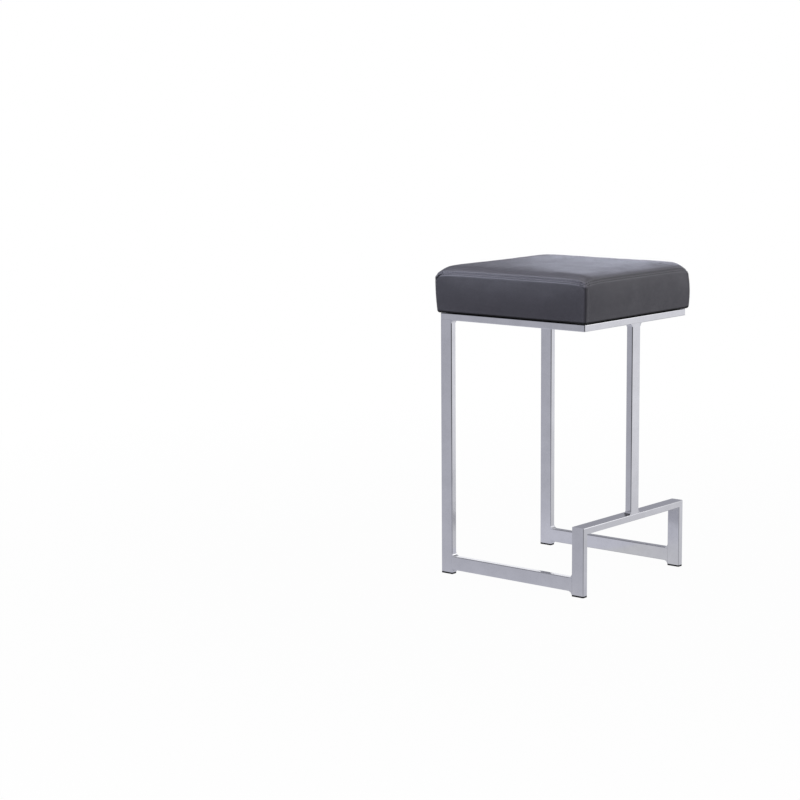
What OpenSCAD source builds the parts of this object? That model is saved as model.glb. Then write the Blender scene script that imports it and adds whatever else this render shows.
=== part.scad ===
// Square counter stool: a welded frame of flat rectangular tube that carries
// an upholstered box cushion. The front side, with the footrest, faces -Y.
// The origin is on the floor, at the middle of the frame. +Z is up.

/* [Frame] */
// Width of the frame over its outer faces, along X
frame_w = 380; // [320:5:460]
// Depth of the frame over its outer faces, along Y
frame_d = 380; // [320:5:460]
// Height of the top face of the seat ring above the floor
ring_top = 575; // [450:5:720]
// Height of the top face of the footrest bar above the floor
footrest_top = 149; // [110:1:220]
// Clear height under the two floor rails
rail_lift = 10; // [7:1:30]

/* [Tube] */
// Long side of the rectangular tube
tube_w = 30; // [26:1:40]
// Short side of the rectangular tube
tube_h = 15; // [12:1:20]
// Wall of the tube
tube_wall = 1.2; // [0.8:0.1:1.6]
// Outer corner radius of the tube
tube_r = 2; // [1.8:0.1:3]
// Leg length of the ground weld in an inner corner
weld_leg = 6; // [3:0.5:8]
// Thickness left where a ground weld runs out on the tube
weld_land = 0.4; // [0.3:0.1:0.8]

/* [Feet] */
// Thickness of the foot pad that shows below the tube
pad_t = 3.5; // [2:0.5:6]
// Depth that the plug of a pad goes into the tube
plug_l = 14; // [8:1:24]
// Clearance between a plug rib and the inside of the tube
plug_clear = 0.15; // [0.1:0.05:0.3]
// How far the ribs stand out from the core of the plug
rib_depth = 1.4; // [0.8:0.1:2]
// Thickness of one rib on the plug
rib_t = 1.6; // [1:0.1:2.2]
// Number of ribs on the plug
rib_count = 3; // [2:1:3]

/* [Cushion] */
// How far the bottom edge of the cushion stands out past the frame
overhang = 6; // [0:0.5:10]
// Height of the side panels, from the bottom to the seam at mid side
side_h = 89; // [60:1:120]
// Rise of the rolled edge of the top panel above the seam
crown_h = 14; // [6:1:24]
// Width of the rolled edge of the top panel, seen from above
roll_w = 28; // [16:1:60]
// Extra rise of the top panel in the middle of the seat
dome_h = 2.5; // [0:0.5:10]
// Drop of the top seam at the four corners
seam_dip = 6.5; // [0:0.5:12]
// Depth of the channel that the sewn seams draw into the cushion
seam_tuck = 1.5; // [0.5:0.1:3]
// How far the top seam is drawn in between two corners
seam_pull = 1.5; // [0:0.5:5]
// How far the side panels lean out from bottom to top
seat_lean = 2; // [0:0.5:6]
// Swell of the side panels near a corner
corner_belly = 0.5; // [0:0.5:6]
// Extra swell of the side panels at mid side
side_belly = 2; // [0:0.5:6]
// Plan radius of the cushion corners
corner_r = 9; // [5:1:20]
// Radius of the lower edge, where the cover turns under the board
edge_r = 5; // [4:0.5:10]
// Thickness of the coated fabric cover with its backing
cover_t = 1.5; // [1:0.1:2.5]
// Gap left open along the sewn seams between two panels
seam_gap = 0.3; // [0.2:0.1:0.6]
// Width of the cover that is turned under the seat board
flap_w = 30; // [24:1:45]
// Clearance between the foam and the cover
foam_clear = 0.5; // [0.3:0.1:1]
// Thickness of the plywood seat board
board_t = 12; // [9:1:18]
// Corner radius of the plywood seat board
board_r = 18; // [16:1:30]
// Clearance between the edge of the board and the turn of the cover
board_clear = 0.5; // [0.3:0.1:2]
// Thickness of the black cloth under the seat
dust_t = 1.2; // [0.6:0.1:2]
// Distance from the edge of the board to the edge of the black cloth
dust_inset = 7; // [4:1:12]

/* [Seat fixing] */
// Thread diameter of the seat bolts
bolt_d = 6; // [5:1:8]
// Distance between the front and the rear bolts
bolt_span = 220; // [120:10:260]
// Clearance around a bolt in the holes of tube, cloth and cover
bolt_clear = 0.3; // [0.2:0.1:0.6]
// Head diameter of a seat bolt
head_d = 11; // [10:0.5:14]
// Head height of a seat bolt
head_h = 3.6; // [3:0.2:5]
// Width across the flats of the hexagon socket
socket_w = 4; // [3:0.5:5]
// Depth of the hexagon socket
socket_l = 2.2; // [1.5:0.1:2.8]
// Outer diameter of a washer
washer_d = 14; // [13:0.5:18]
// Thickness of a washer
washer_t = 1.2; // [0.8:0.1:2]
// Clearance round a washer in the hole that lets it and the bolt into the tube
access_clear = 1; // [0.5:0.1:1.5]
// Diameter of the flange of a tee nut
flange_d = 19; // [16:1:22]
// Thickness of the flange of a tee nut
flange_t = 1.2; // [0.8:0.1:2]
// Wall of the barrel of a tee nut
barrel_wall = 1.1; // [0.8:0.1:1.5]
// Length of the barrel of a tee nut below its flange
barrel_l = 8; // [5:0.5:8.5]
// Clearance between a bolt and the bore of its tee nut
thread_clear = 0.1; // [0.05:0.05:0.2]
// Clearance between a tee nut and its seat in the board
nut_clear = 0.2; // [0.1:0.05:0.4]
// Distance that the tip of a bolt stays below the top of the board
tip_clear = 1; // [0.5:0.1:3]

/* [Hidden] */
$fn = 48;
// Overrun of the cutting bodies beyond the faces that they cut
over = 1;
quarter_turn = 90;
half_turn = 180;
hexagon = 6;
steel = [0.78, 0.79, 0.81];
vinyl = [0.27, 0.27, 0.30];

// Frame places
half_w = frame_w / 2;
half_d = frame_d / 2;
inner_r = tube_r - tube_wall;
ring_bottom = ring_top - tube_h;
ring_mid = ring_top - tube_h / 2;
bar_bottom = footrest_top - tube_h;
bar_mid = footrest_top - tube_h / 2;
rail_mid = rail_lift + tube_w / 2;
side_x = half_w - tube_h / 2;
rear_y = half_d - tube_w / 2;
post_y = tube_h / 2 - half_d;
// A tube that butts on another one reaches this far into its rounded corner,
// so that the outer faces of both run on without a groove
cope_share = 0.5;
cope = tube_r * cope_share;

// Cushion heights
cushion_z = ring_top + dust_t;
board_z = cushion_z + cover_t;
board_top = board_z + board_t;
seam_z = cushion_z + side_h;
swell_z = cushion_z + edge_r;
half_seat_w = half_w + overhang;
half_seat_d = half_d + overhang;
corner_cut = corner_r * (1 - cos(quarter_turn / 2));
board_inset = edge_r + board_clear;

// Cushion stations: seam positions as shares of the half side, denser near
// the corners, and heights on a side panel as shares of its upright part
seam_steps = 16;
arc_steps = 3;
side_shares = [0, 0.2, 0.42, 0.65, 0.85, 0.94, 1];
dip_power = 5;
pull_power = 4;
lean_power = 3;
profile_last = arc_steps + len(side_shares);

// Foam levels: heights on the side, and rings of the top as shares
foam_side_shares = [0.5, 0.85];
foam_top_shares = [1, 0.95, 0.86, 0.55];
foam_steps = 8;

// Seat fixing places
bolt_x = half_w - tube_w / 2;
bolt_y = bolt_span / 2;
bolt_hole_d = bolt_d + 2 * bolt_clear;
head_z = ring_top - tube_wall - washer_t;
bolt_tip = board_top - tip_clear;
nut_bore_d = bolt_d + 2 * thread_clear;
barrel_d = nut_bore_d + 2 * barrel_wall;
access_d = washer_d + 2 * access_clear;

// Rectangle with true round corners, centred
module rounded_rect(size_a, size_b, r) {
    square([size_a - 2 * r, size_b], center = true);
    square([size_a, size_b - 2 * r], center = true);
    for (a = [-1, 1], b = [-1, 1])
        translate([a * (size_a / 2 - r), b * (size_b / 2 - r)])
            circle(r);
}

// Outline of the tube, as a full section
module full_section(size_a, size_b) {
    rounded_rect(size_a, size_b, tube_r);
}

// Section of the tube with its wall
module tube_section(size_a, size_b) {
    difference() {
        rounded_rect(size_a, size_b, tube_r);
        rounded_rect(size_a - 2 * tube_wall, size_b - 2 * tube_wall, inner_r);
    }
}

// Runs a section along X: its first size lies along Y, its second along Z
module along_x(y, z, from, to) {
    translate([from, y, z])
        rotate([quarter_turn, 0, quarter_turn])
            linear_extrude(to - from)
                children();
}

// Runs a section along Y: its first size lies along X, its second along Z
module along_y(x, z, from, to) {
    translate([x, to, z])
        rotate([quarter_turn, 0, 0])
            linear_extrude(to - from)
                children();
}

// Runs a section along Z: its first size lies along X, its second along Y
module along_z(x, y, from, to) {
    translate([x, y, from])
        linear_extrude(to - from)
            children();
}

// Full bodies of the tubes, used to cope what butts against them
module ring_body() {
    difference() {
        along_z(0, 0, ring_bottom, ring_top)
            rounded_rect(frame_w, frame_d, tube_r);
        for (y = [-1, 1])
            translate([0, y * half_d, ring_bottom])
                ring_edge(frame_w);
        for (x = [-1, 1])
            translate([x * half_w, 0, ring_bottom])
                rotate([0, 0, quarter_turn])
                    ring_edge(frame_d);
    }
}

// Waste outside the rounded lower edge of the ring, along X
module ring_edge(length) {
    along_x(0, 0, -length / 2 - over, length / 2 + over)
        difference() {
            square([2 * tube_r, 2 * tube_r], center = true);
            for (a = [-1, 1])
                translate([a * tube_r, tube_r])
                    circle(tube_r);
        }
}

module leg_body(x, y) {
    along_z(x, y, 0, ring_top)
        full_section(tube_h, tube_w);
}

module footrest_body() {
    along_x(-rear_y, bar_mid, -half_w, half_w)
        full_section(tube_w, tube_h);
}

// Plan of one ring tube with its two mitres. The tube lies on the +Y side of
// a ring that is size_a wide and size_b deep
module mitre_plan(size_a, size_b) {
    a = size_a / 2;
    b = size_b / 2;
    polygon([
        [-a - over, b + over],
        [a + over, b + over],
        [a - tube_w - over, b - tube_w - over],
        [-a + tube_w + over, b - tube_w - over]
    ]);
}

// One tube of the seat ring, mitred at both ends, with its two vertical
// corner edges ground round
module ring_tube(size_a, size_b) {
    intersection() {
        along_x(size_b / 2 - tube_w / 2, ring_mid, -size_a / 2, size_a / 2)
            tube_section(tube_w, tube_h);
        along_z(0, 0, ring_bottom - over, ring_top + over)
            intersection() {
                mitre_plan(size_a, size_b);
                rounded_rect(size_a, size_b, tube_r);
            }
    }
}

// Holes for the seat bolts, through the upper wall of the ring, the cloth and
// the cover
module bolt_holes() {
    for (x = [-1, 1], y = [-1, 1])
        along_z(x * bolt_x, y * bolt_y, ring_mid, board_z + over)
            circle(bolt_hole_d / 2);
}

// Larger holes in the lower wall of the ring, through which the bolts and
// their washers are put in, so that nothing stands out below the ring
module access_holes() {
    for (x = [-1, 1], y = [-1, 1])
        along_z(x * bolt_x, y * bolt_y, ring_bottom - over, ring_mid)
            circle(access_d / 2);
}

module ring_front_tube() {
    color(steel)
        rotate([0, 0, half_turn])
            ring_tube(frame_w, frame_d);
}

module ring_rear_tube() {
    color(steel)
        ring_tube(frame_w, frame_d);
}

module ring_left_tube() {
    color(steel)
        difference() {
            rotate([0, 0, quarter_turn])
                ring_tube(frame_d, frame_w);
            bolt_holes();
            access_holes();
        }
}

module ring_right_tube() {
    color(steel)
        difference() {
            rotate([0, 0, -quarter_turn])
                ring_tube(frame_d, frame_w);
            bolt_holes();
            access_holes();
        }
}

// Upright at a rear corner, coped to the rounded lower edge of the ring
module rear_leg(side) {
    difference() {
        along_z(side * side_x, rear_y, pad_t, ring_bottom + cope)
            tube_section(tube_h, tube_w);
        ring_body();
    }
}

module rear_left_leg() {
    color(steel)
        rear_leg(-1);
}

module rear_right_leg() {
    color(steel)
        rear_leg(1);
}

// Short leg at a front corner, mitred to the footrest bar
module front_leg(side) {
    intersection() {
        along_z(side * side_x, -rear_y, pad_t, footrest_top)
            tube_section(tube_h, tube_w);
        along_y(0, 0, -half_d - over, half_d)
            polygon([
                [side * (half_w + over), 0],
                [side * (half_w + over), footrest_top + over],
                [side * (half_w - tube_h - over), bar_bottom - over],
                [side * (half_w - tube_h - over), 0]
            ]);
    }
}

module front_left_leg() {
    color(steel)
        front_leg(-1);
}

module front_right_leg() {
    color(steel)
        front_leg(1);
}

// Footrest across the front, mitred to the two short legs
module footrest_bar() {
    color(steel)
        intersection() {
            along_x(-rear_y, bar_mid, -half_w, half_w)
                tube_section(tube_w, tube_h);
            along_y(0, 0, -half_d - over, half_d)
                polygon([
                    [-half_w - over, footrest_top + over],
                    [half_w + over, footrest_top + over],
                    [half_w - tube_h - over, bar_bottom - over],
                    [-half_w + tube_h + over, bar_bottom - over]
                ]);
        }
}

// Rail on edge near the floor, coped between the front and the rear leg
module floor_rail(side) {
    butt = half_d - tube_w;
    difference() {
        along_y(side * side_x, rail_mid, -butt - cope, butt + cope)
            tube_section(tube_h, tube_w);
        leg_body(side * side_x, rear_y);
        leg_body(side * side_x, -rear_y);
    }
}

module left_floor_rail() {
    color(steel)
        floor_rail(-1);
}

module right_floor_rail() {
    color(steel)
        floor_rail(1);
}

// Upright in the middle of the front, between the footrest and the ring
module centre_post() {
    color(steel)
        difference() {
            along_z(0, post_y, footrest_top - cope, ring_bottom + cope)
                tube_section(tube_w, tube_h);
            ring_body();
            footrest_body();
        }
}

// Section of a ground weld in the corner at the origin, open towards +X +Y
module weld_section() {
    difference() {
        translate([-cope, -cope])
            square(weld_leg + cope);
        translate([weld_leg, weld_leg])
            circle(weld_leg - weld_land);
    }
}

// Ground weld along Y in the corner at the origin, open towards +X and +Z
module weld(length) {
    rotate([quarter_turn, 0, 0])
        linear_extrude(length, center = true)
            weld_section();
}

// Turns a weld over where side is -1: towards -X, or towards -Z
module facing_x(side) {
    mirror([side < 0 ? 1 : 0, 0, 0])
        children();
}

module facing_z(side) {
    mirror([0, 0, side < 0 ? 1 : 0])
        children();
}

module post_body() {
    along_z(0, post_y, bar_bottom, ring_top)
        full_section(tube_w, tube_h);
}

module rail_body(side) {
    along_y(side * side_x, rail_mid, -half_d, half_d)
        full_section(tube_h, tube_w);
}

// Welds between the rails and the legs, above and below each rail
module rail_welds() {
    butt = half_d - tube_w;
    for (side = [-1, 1], end = [-1, 1], up = [-1, 1])
        difference() {
            translate([side * side_x, end * butt, rail_mid + up * tube_w / 2])
                facing_z(up)
                    rotate([0, 0, -end * quarter_turn])
                        weld(tube_h);
            leg_body(side * side_x, end * rear_y);
            rail_body(side);
        }
}

// Welds beside the centre post, at the footrest and at the ring
module post_welds() {
    for (side = [-1, 1]) {
        difference() {
            translate([side * tube_w / 2, post_y, footrest_top])
                facing_x(side)
                    weld(tube_h);
            footrest_body();
            post_body();
        }
        difference() {
            translate([side * tube_w / 2, post_y, ring_bottom])
                facing_x(side)
                    facing_z(-1)
                        weld(tube_h);
            ring_body();
            post_body();
        }
    }
}

// Welds in the two inner corners where each rear leg meets the ring
module leg_welds() {
    for (side = [-1, 1])
        difference() {
            union() {
                translate([side * (half_w - tube_h), rear_y, ring_bottom])
                    facing_x(-side)
                        facing_z(-1)
                            weld(tube_w);
                translate([side * side_x, half_d - tube_w, ring_bottom])
                    facing_z(-1)
                        rotate([0, 0, -quarter_turn])
                            weld(tube_h);
            }
            ring_body();
            leg_body(side * side_x, rear_y);
        }
}

module weld_fillets() {
    color(steel) {
        rail_welds();
        post_welds();
        leg_welds();
    }
}

// Moulded pad with a ribbed plug that grips in the end of a leg
module foot_pad(x, y) {
    plug_a = tube_h - 2 * tube_wall - 2 * plug_clear;
    plug_b = tube_w - 2 * tube_wall - 2 * plug_clear;
    rib_pitch = plug_l / rib_count;
    color("black") {
        along_z(x, y, 0, pad_t)
            full_section(tube_h, tube_w);
        along_z(x, y, pad_t, pad_t + plug_l)
            square([plug_a - 2 * rib_depth, plug_b - 2 * rib_depth], center = true);
        for (i = [1:rib_count])
            along_z(x, y, pad_t + i * rib_pitch - rib_t, pad_t + i * rib_pitch)
                rounded_rect(plug_a, plug_b, inner_r);
    }
}

module rear_left_pad() {
    foot_pad(-side_x, rear_y);
}

module rear_right_pad() {
    foot_pad(side_x, rear_y);
}

module front_left_pad() {
    foot_pad(-side_x, -rear_y);
}

module front_right_pad() {
    foot_pad(side_x, -rear_y);
}

// Position of seam station i on a side, from -1 to 1
function station(i, steps) = sin(quarter_turn * (2 * i / steps - 1));

// Height of the top seam at share p of the way from mid side to a corner
function seam_height(p) = seam_z - seam_dip * pow(abs(p), dip_power);

// How far the rounded plan corner draws a side in at share s of its half
function corner_inset(s, half) =
    let(q = half - abs(s) * (half - corner_cut))
    q >= corner_r ? 0 : corner_r - sqrt(corner_r * corner_r - pow(corner_r - q, 2));

// Swell of a side panel at station s and at share w of its upright part
function side_swell(s, w) =
    (corner_belly + side_belly * (1 - s * s)) * sin(half_turn * w)
    + seat_lean * w * (2 - w)
    - seam_pull * (1 - pow(s, pull_power)) * pow(w, lean_power);

// Distance of a side panel outside its bottom edge line
function side_out(s, w, half) =
    side_swell(s, w) - corner_inset(s, half) - (w == 1 || abs(s) == 1 ? seam_tuck : 0);

// Profile point k of a side panel, as distance outside the bottom edge line
// and height: the flap end, the turned lower edge, then the upright part
function side_profile(k, s, inset, half) =
    let(flat = k <= arc_steps + 1)
    let(turn = quarter_turn * (max(k, 1) - 1) / arc_steps - quarter_turn)
    let(w = flat ? 0 : side_shares[k - arc_steps - 1])
    let(top = seam_height(s) - seam_gap)
    flat
        ? [
            side_out(s, 0, half) - edge_r - (k == 0 ? flap_w : 0)
                + (edge_r - inset) * cos(turn),
            swell_z + (edge_r - inset) * sin(turn)
        ]
        : [side_out(s, w, half) - inset, swell_z + w * (top - swell_z)];

// Point of a side panel whose outside faces +X
function side_point(i, k, inset, half_out, half) =
    let(s = station(i, seam_steps))
    let(p = side_profile(k, s, inset, half))
    let(end = side_profile(k, 1, inset, half))
    [half_out + p[0], s * (half + end[0] - seam_gap / 2), p[1]];

// Share of the crown reached at share u of the half side
function roll(u, half) =
    let(q = max(0, abs(u) * half - half + roll_w) / roll_w)
    sqrt(max(0, 1 - q * q));

// Point of the top panel at shares u and v of the half sides
function top_point(u, v, inset) =
    let(edge = abs(u) == 1 || abs(v) == 1)
    let(free = edge ? 0 : seam_tuck)
    let(crown = roll(u, half_seat_w) * roll(v, half_seat_d))
    [
        u * (half_seat_w + side_out(v, 1, half_seat_d) + free - inset),
        v * (half_seat_d + side_out(u, 1, half_seat_w) + free - inset),
        seam_height(u * v) + (crown_h - inset) * crown
            + dome_h * (1 - u * u) * (1 - v * v)
    ];

// Two triangles of the grid cell whose corners are a, b, c and d in turn
function cell(a, b, c, d) = [[a, b, c], [a, c, d]];

// Triangles of a sheet with an outer and an inner grid of rows and columns.
// The outer grid comes first in the points, each row after the other
function sheet_faces(rows, cols) =
    let(n = (rows + 1) * (cols + 1))
    let(w = cols + 1)
    [
        for (i = [0:rows - 1], j = [0:cols - 1])
            let(a = i * w + j)
            each cell(a, a + 1, a + w + 1, a + w),
        for (i = [0:rows - 1], j = [0:cols - 1])
            let(a = n + i * w + j)
            each cell(a, a + w, a + w + 1, a + 1),
        for (i = [0:rows - 1])
            let(a = i * w)
            each cell(a, a + w, n + a + w, n + a),
        for (i = [0:rows - 1])
            let(a = i * w + cols)
            each cell(a, n + a, n + a + w, a + w),
        for (j = [0:cols - 1])
            each cell(j, n + j, n + j + 1, j + 1),
        for (j = [0:cols - 1])
            let(a = rows * w + j)
            each cell(a, a + 1, n + a + 1, n + a)
    ];

// One sewn side panel with its flap turned under the board
module side_panel(half_out, half) {
    polyhedron(
        points = [
            for (inset = [0, cover_t], i = [0:seam_steps], k = [0:profile_last])
                side_point(i, k, inset, half_out, half)
        ],
        faces = sheet_faces(seam_steps, profile_last)
    );
}

module cover_right_panel() {
    color(vinyl)
        difference() {
            side_panel(half_seat_w, half_seat_d);
            bolt_holes();
        }
}

module cover_left_panel() {
    color(vinyl)
        difference() {
            rotate([0, 0, half_turn])
                side_panel(half_seat_w, half_seat_d);
            bolt_holes();
        }
}

module cover_front_panel() {
    color(vinyl)
        rotate([0, 0, -quarter_turn])
            side_panel(half_seat_d, half_seat_w);
}

module cover_rear_panel() {
    color(vinyl)
        rotate([0, 0, quarter_turn])
            side_panel(half_seat_d, half_seat_w);
}

// Crowned top panel, sewn to the four side panels along its edge
module cover_top_panel() {
    color(vinyl)
        polyhedron(
            points = [
                for (inset = [0, cover_t], i = [0:seam_steps], j = [0:seam_steps])
                    top_point(station(i, seam_steps), station(j, seam_steps), inset)
            ],
            faces = sheet_faces(seam_steps, seam_steps)
        );
}

// Plan point on side 0 to 3, counted from +X, from its outward and its
// sideways coordinate
function on_side(side, out, across) =
    side == 0 ? [out, across] :
    side == 1 ? [-across, out] :
    side == 2 ? [-out, -across] : [across, -out];

// Foam point on the upright sides, at share w of their height
function foam_side_point(side, s, w) =
    let(inset = cover_t + foam_clear)
    let(half_out = side % 2 == 0 ? half_seat_w : half_seat_d)
    let(half = side % 2 == 0 ? half_seat_d : half_seat_w)
    let(low = (board_top - swell_z) / (seam_z - swell_z))
    let(share = low + w * (1 - low))
    let(out = half_out + side_out(s, share, half) - inset)
    let(across = s * (half + side_out(1, share, half) - inset))
    let(p = on_side(side, out, across))
    [p[0], p[1], board_top + w * (seam_height(s) - board_top)];

// Foam point on the top, on the square ring at share q
function foam_top_point(side, s, q) =
    let(uv = on_side(side, q, q * s))
    top_point(uv[0], uv[1], cover_t + foam_clear);

// Crowned foam block that fills the cover above the board
module foam_block() {
    ring_count = 4 * foam_steps;
    rings = 1 + len(foam_side_shares) + len(foam_top_shares);
    last = rings * ring_count;
    color("wheat")
        polyhedron(
            points = [
                for (w = concat([0], foam_side_shares), side = [0:3], i = [0:foam_steps - 1])
                    foam_side_point(side, station(i, foam_steps), w),
                for (q = foam_top_shares, side = [0:3], i = [0:foam_steps - 1])
                    foam_top_point(side, station(i, foam_steps), q),
                foam_top_point(0, 0, 0),
                [0, 0, board_top]
            ],
            faces = [
                for (r = [0:rings - 2], i = [0:ring_count - 1])
                    let(a = r * ring_count + i)
                    let(b = r * ring_count + (i + 1) % ring_count)
                    each cell(a, a + ring_count, b + ring_count, b),
                for (i = [0:ring_count - 1])
                    [last - ring_count + i, last, last - ring_count + (i + 1) % ring_count],
                for (i = [0:ring_count - 1])
                    [i, (i + 1) % ring_count, last + 1]
            ]
        );
}

// Places of the four bolts, nuts and washers
module at_bolts() {
    for (x = [-1, 1], y = [-1, 1])
        translate([x * bolt_x, y * bolt_y, 0])
            children();
}

// Plywood board with four counterbored holes for the tee nuts
module seat_board() {
    color("burlywood")
        difference() {
            along_z(0, 0, board_z, board_top)
                rounded_rect(
                    2 * (half_seat_w - board_inset),
                    2 * (half_seat_d - board_inset),
                    board_r
                );
            at_bolts() {
                along_z(0, 0, board_z - over, board_top + over)
                    circle(barrel_d / 2 + nut_clear);
                along_z(0, 0, board_top - flange_t, board_top + over)
                    circle(flange_d / 2 + nut_clear);
            }
        }
}

// Black cloth between the underside of the cushion and the ring
module dust_cover() {
    color("dimgray")
        difference() {
            along_z(0, 0, ring_top, cushion_z)
                rounded_rect(
                    2 * (half_seat_w - board_inset - dust_inset),
                    2 * (half_seat_d - board_inset - dust_inset),
                    board_r - dust_inset
                );
            bolt_holes();
        }
}

// Tee nuts pressed into the board from above
module tee_nuts() {
    color("silver")
        at_bolts()
            difference() {
                union() {
                    along_z(0, 0, board_top - flange_t, board_top)
                        circle(flange_d / 2);
                    along_z(0, 0, board_top - flange_t - barrel_l, board_top - flange_t)
                        circle(barrel_d / 2);
                }
                along_z(0, 0, board_top - flange_t - barrel_l - over, board_top + over)
                    circle(nut_bore_d / 2);
            }
}

// Socket head bolts that hold the cushion down on the ring, with their heads
// inside its tubes
module seat_bolts() {
    color("silver")
        at_bolts()
            difference() {
                union() {
                    along_z(0, 0, head_z - head_h, head_z)
                        circle(head_d / 2);
                    along_z(0, 0, head_z, bolt_tip)
                        circle(bolt_d / 2);
                }
                along_z(0, 0, head_z - head_h - over, head_z - head_h + socket_l)
                    circle(d = socket_w / cos(half_turn / hexagon), $fn = hexagon);
            }
}

// Washers between the bolt heads and the upper wall of the ring
module bolt_washers() {
    color("silver")
        at_bolts()
            along_z(0, 0, head_z, ring_top - tube_wall)
                difference() {
                    circle(washer_d / 2);
                    circle(bolt_hole_d / 2);
                }
}

ring_front_tube();
ring_rear_tube();
ring_left_tube();
ring_right_tube();
rear_left_leg();
rear_right_leg();
front_left_leg();
front_right_leg();
left_floor_rail();
right_floor_rail();
footrest_bar();
centre_post();
weld_fillets();
rear_left_pad();
rear_right_pad();
front_left_pad();
front_right_pad();
seat_board();
foam_block();
cover_top_panel();
cover_front_panel();
cover_rear_panel();
cover_left_panel();
cover_right_panel();
dust_cover();
tee_nuts();
seat_bolts();
bolt_washers();
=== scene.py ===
# %% [markdown]
# # A square counter stool
# The real stool is two things: a chromed frame of flat rectangular tube, and a box cushion that
# is bolted on top of it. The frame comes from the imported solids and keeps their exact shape, so
# Blender gives it only its finish. The cushion, its thread and the cloth under it are soft, and
# those are made here as surfaces and put in the place that the solids hold for them.

# %% Load the frame
import math

import bpy
import numpy as np
from mathutils import Matrix, Vector


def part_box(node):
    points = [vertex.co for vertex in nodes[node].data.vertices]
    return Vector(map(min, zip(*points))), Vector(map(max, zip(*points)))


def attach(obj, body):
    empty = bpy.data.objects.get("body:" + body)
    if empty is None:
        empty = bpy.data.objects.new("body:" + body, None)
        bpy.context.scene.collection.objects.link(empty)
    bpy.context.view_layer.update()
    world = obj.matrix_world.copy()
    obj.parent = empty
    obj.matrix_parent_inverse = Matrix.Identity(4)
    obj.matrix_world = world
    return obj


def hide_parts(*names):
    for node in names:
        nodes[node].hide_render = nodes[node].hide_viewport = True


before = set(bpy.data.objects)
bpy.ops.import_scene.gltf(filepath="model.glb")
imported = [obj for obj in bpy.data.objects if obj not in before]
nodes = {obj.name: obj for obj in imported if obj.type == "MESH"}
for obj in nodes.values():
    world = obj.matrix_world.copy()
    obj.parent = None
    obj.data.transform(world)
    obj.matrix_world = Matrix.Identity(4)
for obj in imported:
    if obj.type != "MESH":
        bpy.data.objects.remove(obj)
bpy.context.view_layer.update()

MM = 0.001
scene = bpy.context.scene
print("solids in the frame:", len(nodes))

# %% [markdown]
# ## The cushion as a surface of two parameters
# A box cushion is sewn from a top panel and four side panels. One way to make it is to bend five
# flat grids and weld them. Here the whole cover is one grid instead, like a globe: its rows follow
# one another from the middle of the top over the rolled edge, across the seam, down the side and
# under the board to the middle of the underside, and its columns go once round the stool. The seam
# is then a row, each corner seam is a column, and both can be drawn in by the same few lines.

# %% Sizes of the cushion
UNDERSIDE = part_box("dust_cover")[1].z
SEAM_TOP = UNDERSIDE + 87 * MM
HALF = 196 * MM
EDGE_R = 5 * MM
EDGE_LIFT = 1.3 * MM
EDGE_DROOP = 0.9 * MM
FLAP = 30 * MM
SWELL_Z = UNDERSIDE + EDGE_R
ROLL_W = 28 * MM
CROWN = 13.5 * MM
DOME = 4 * MM
DIP = 5.5 * MM
BAND_SLANT = 2.2 * MM
BAND_FROM = 0.91
CORNER_R = 3.5 * MM
CORNER_CUT = CORNER_R * (1 - math.cos(math.radians(45)))
print("seam at", round(SEAM_TOP, 4), "m, underside at", round(UNDERSIDE, 4), "m")


# %% Formulas of the cover
BELLY_AT_CORNER = 0.5 * MM
BELLY_MORE_MIDWAY = 2.0 * MM
LEAN = 2.0 * MM
SEAM_PULL = 1.8 * MM


def seam_height(p):
    """Height of the top seam: level at mid side, dropping with the ninth power towards a corner."""
    return SEAM_TOP - DIP * np.abs(p) ** 9


def corner_inset(s):
    """How far a side is drawn in at share s of its half, where the plan corner is a round arc."""
    q = HALF - np.abs(s) * (HALF - CORNER_CUT)
    reach = np.clip(CORNER_R - q, 0, CORNER_R)
    return CORNER_R - np.sqrt(CORNER_R ** 2 - reach ** 2)


def side_out(s, w):
    """Swell of a side: a half sine over its height, a lean outwards that eases off upwards, a pull
    by the seam that grows with the fourth power of the height, and the slant of the sewn band."""
    belly = (BELLY_AT_CORNER + BELLY_MORE_MIDWAY * (1 - s ** 2)) * np.sin(np.pi * w)
    pull = SEAM_PULL * (1 - s ** 4) * w ** 4
    slant = BAND_SLANT * np.clip((w - BAND_FROM) / (1 - BAND_FROM), 0, 1) ** 1.4
    return belly + LEAN * w * (2 - w) - pull - slant - corner_inset(s)


def side_point(s, w):
    """Point of the side that faces +X, at share s across it and share w of its upright part."""
    x = HALF + side_out(s, w)
    y = s * (HALF + side_out(np.ones_like(s), w))
    z = SWELL_Z + w * (seam_height(s) - SWELL_Z)
    return np.stack(np.broadcast_arrays(x, y, z), -1)


def roll(u):
    """Share of the crown: close to a quarter ellipse over the rolled edge, one on the flat."""
    q = np.clip((np.abs(u) * HALF - HALF + ROLL_W) / ROLL_W, 0, 1)
    return (1 - q ** 2) ** 0.57


def top_point(q, s):
    """Point of the top panel on the square ring at share q, at share s along its +X side."""
    u, v = np.broadcast_arrays(q, q * s)
    x = u * (HALF + side_out(v, np.ones_like(v)))
    y = v * (HALF + side_out(u, np.ones_like(u)))
    z = seam_height(u * v) + CROWN * roll(u) * roll(v) + DOME * (1 - u ** 2) * (1 - v ** 2)
    return np.stack([x, y, z], -1)


# %% [markdown]
# ## Corners that lean
# Where three panels meet, the thread pulls hard, and no two corners of a real seat come out alike.
# A table gives each upright corner a lean of its own, in or out. It could be done by hand with
# proportional editing, and the function below does the same: full at the corner, nothing further in.

# %% Pull at the corners
# Each row is the side of the corner in X and in Y, and how far its top leans outwards.
CORNER_PULL = ((1, -1, -5.5 * MM), (1, 1, -3.0 * MM), (-1, 1, 0.8 * MM), (-1, -1, -1.0 * MM))
PULL_REACH = 38 * MM


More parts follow.
